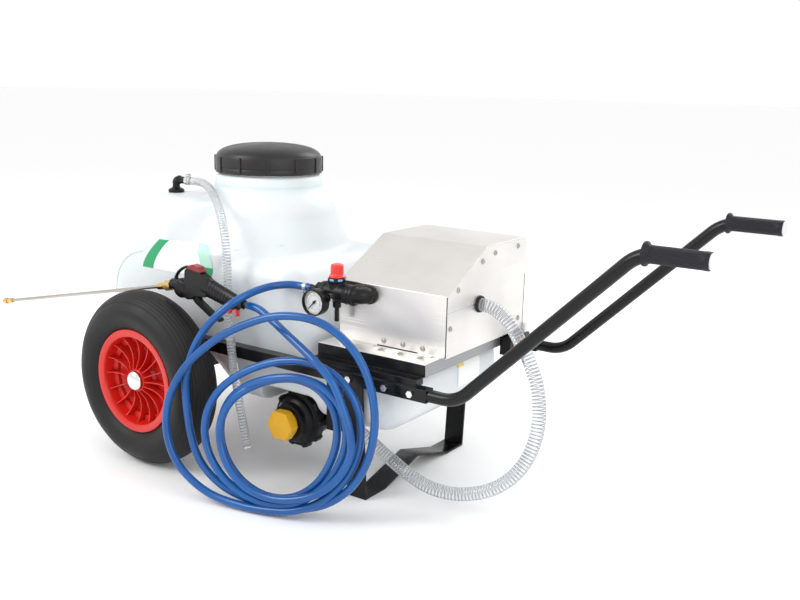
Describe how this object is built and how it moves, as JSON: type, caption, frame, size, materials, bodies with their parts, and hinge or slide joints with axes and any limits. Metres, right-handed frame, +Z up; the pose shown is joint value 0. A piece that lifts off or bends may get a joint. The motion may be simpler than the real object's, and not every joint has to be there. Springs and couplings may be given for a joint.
{
  "type": "wheeled sprayer cart",
  "caption": "Two-wheeled hand cart with an upright liquid tank, a pump box, a pressure regulator, a suction filter, a coiled hose and a spray lance.",
  "frame": {"origin": "on the floor, midway along the length without the hoses, between the wheels", "axes": "+X towards the handles, -Y the side with the hose coil and gun, +Z up"},
  "size_m": [1.8146, 0.8071, 0.719],
  "materials": {
    "black_paint": "semi-gloss powder coat",
    "zinc": "bright zinc plate",
    "steel": "brushed",
    "stainless": "fine brushed sheet",
    "grip_rubber": "ribbed matt rubber",
    "plug_plastic": "satin",
    "tank_white": "satin translucent",
    "lid_black": "satin moulded",
    "black_plastic": "satin moulded",
    "tyre_rubber": "matt rubber",
    "rim_red": "glossy moulded",
    "bush_white": "satin",
    "hose_blue": "glossy PVC",
    "hose_clear": "clear PVC with a wire spiral",
    "cap_yellow": "satin moulded",
    "red_plastic": "translucent glossy",
    "brass": "turned",
    "dial_glass": "clear",
    "battery_grey": "satin"
  },
  "bodies": {
    "cart": {"frame": "black_paint", "axle": "zinc", "stand": "black_paint", "stand_bolts": "zinc", "handle_near": "black_paint", "handle_far": "black_paint", "handle_bolts": "zinc", "grip_near": "grip_rubber", "grip_far": "grip_rubber", "grip_plugs": "plug_plastic", "tray_sheet": "stainless", "tank_shell": "tank_white", "filler_basket": "black_plastic", "vent_elbow": "black_plastic", "vent_hose": "hose_clear", "hub_caps": "zinc", "box_cover": "stainless", "box_end_rear": "stainless", "box_end_front": "stainless", "box_screws": "steel", "box_grommet": "grip_rubber", "battery": "battery_grey", "pump_motor": "black_paint", "pump_head": "black_plastic", "charge_socket": "black_plastic", "regulator_body": "black_plastic", "regulator_elbow": "black_plastic", "gauge_case": "black_plastic", "gauge_glass": "dial_glass", "outlet_tail": "black_plastic", "filter_body": "black_plastic", "suction_barb": "black_plastic", "gun_body": "black_plastic", "lance_fitting": "brass", "lance": "steel", "nozzle": "brass", "gun_swivel": "black_plastic", "hose_clamps": "zinc", "hose_outlet": "hose_blue", "hose_coil": "hose_blue", "hose_gun": "hose_blue", "suction_hose": "hose_clear"},
    "wheel_near": {"tyre_near": "tyre_rubber", "rim_near": "rim_red", "bush_near": "bush_white"},
    "wheel_far": {"tyre_far": "tyre_rubber", "rim_far": "rim_red", "bush_far": "bush_white"},
    "lid_seal": {"lid_gasket": "grip_rubber"},
    "lid": {"tank_lid": "lid_black"},
    "knob": {"regulator_knob": "red_plastic"},
    "needle": {"gauge_needle": "black_plastic"},
    "filter_bowl": {"filter_cap": "cap_yellow"},
    "trigger": {"gun_trigger": "black_plastic"},
    "trigger_lock": {"gun_lock": "red_plastic"},
    "spray_tip": {"nozzle_cap": "brass"},
    "rocker": {"switch_rocker": "red_plastic"}
  },
  "joints": [
    {"name": "wheel_near_spin", "type": "hinge", "parent": "cart", "child": "wheel_near", "pos_m": [-0.305, -0.326, 0.2], "axis": [0, 1, 0], "continuous": true},
    {"name": "wheel_far_spin", "type": "hinge", "parent": "cart", "child": "wheel_far", "pos_m": [-0.305, 0.326, 0.2], "axis": [0, 1, 0], "continuous": true},
    {"name": "lid_lift", "type": "slide", "parent": "cart", "child": "lid_seal", "axis": [0, 0, 1], "range_m": [0, 0.0362]},
    {"name": "lid_turn", "type": "hinge", "parent": "lid_seal", "child": "lid", "pos_m": [-0.226, 0, 0.68], "axis": [0, 0, 1], "range_deg": [0, 540]},
    {"name": "knob_turn", "type": "hinge", "parent": "cart", "child": "knob", "pos_m": [0.133, -0.19, 0.48], "axis": [0, 0, 1], "range_deg": [-360, 360]},
    {"name": "needle_swing", "type": "hinge", "parent": "cart", "child": "needle", "pos_m": [0.112, -0.239, 0.421], "axis": [0, 1, 0], "range_deg": [0, 270], "stiffness_Nm_per_rad": 0.0005, "springref_deg": -17.19},
    {"name": "filter_cap_turn", "type": "hinge", "parent": "cart", "child": "filter_bowl", "pos_m": [0.006, -0.202, 0.125], "axis": [0, 1, 0], "range_deg": [0, 360]},
    {"name": "trigger_squeeze", "type": "hinge", "parent": "cart", "child": "trigger", "pos_m": [-0.185, -0.285, 0.398], "axis": [0, -1, 0], "range_deg": [0, 12], "stiffness_Nm_per_rad": 0.6, "springref_deg": -5.73},
    {"name": "lock_slide", "type": "slide", "parent": "cart", "child": "trigger_lock", "axis": [1, 0, 0], "range_m": [0, 0.008]},
    {"name": "tip_turn", "type": "hinge", "parent": "cart", "child": "spray_tip", "pos_m": [-0.888, -0.285, 0.2832], "axis": [-0.9794, 0, -0.2018], "range_deg": [0, 360]},
    {"name": "rocker_tilt", "type": "hinge", "parent": "cart", "child": "rocker", "pos_m": [0.397, 0.108, 0.305], "axis": [0, 1, 0], "range_deg": [-7, 7]}
  ],
  "couplings": [
    {"joint": "lid_lift", "follows": "lid_turn", "m_per_rad": 0.00382}
  ]
}
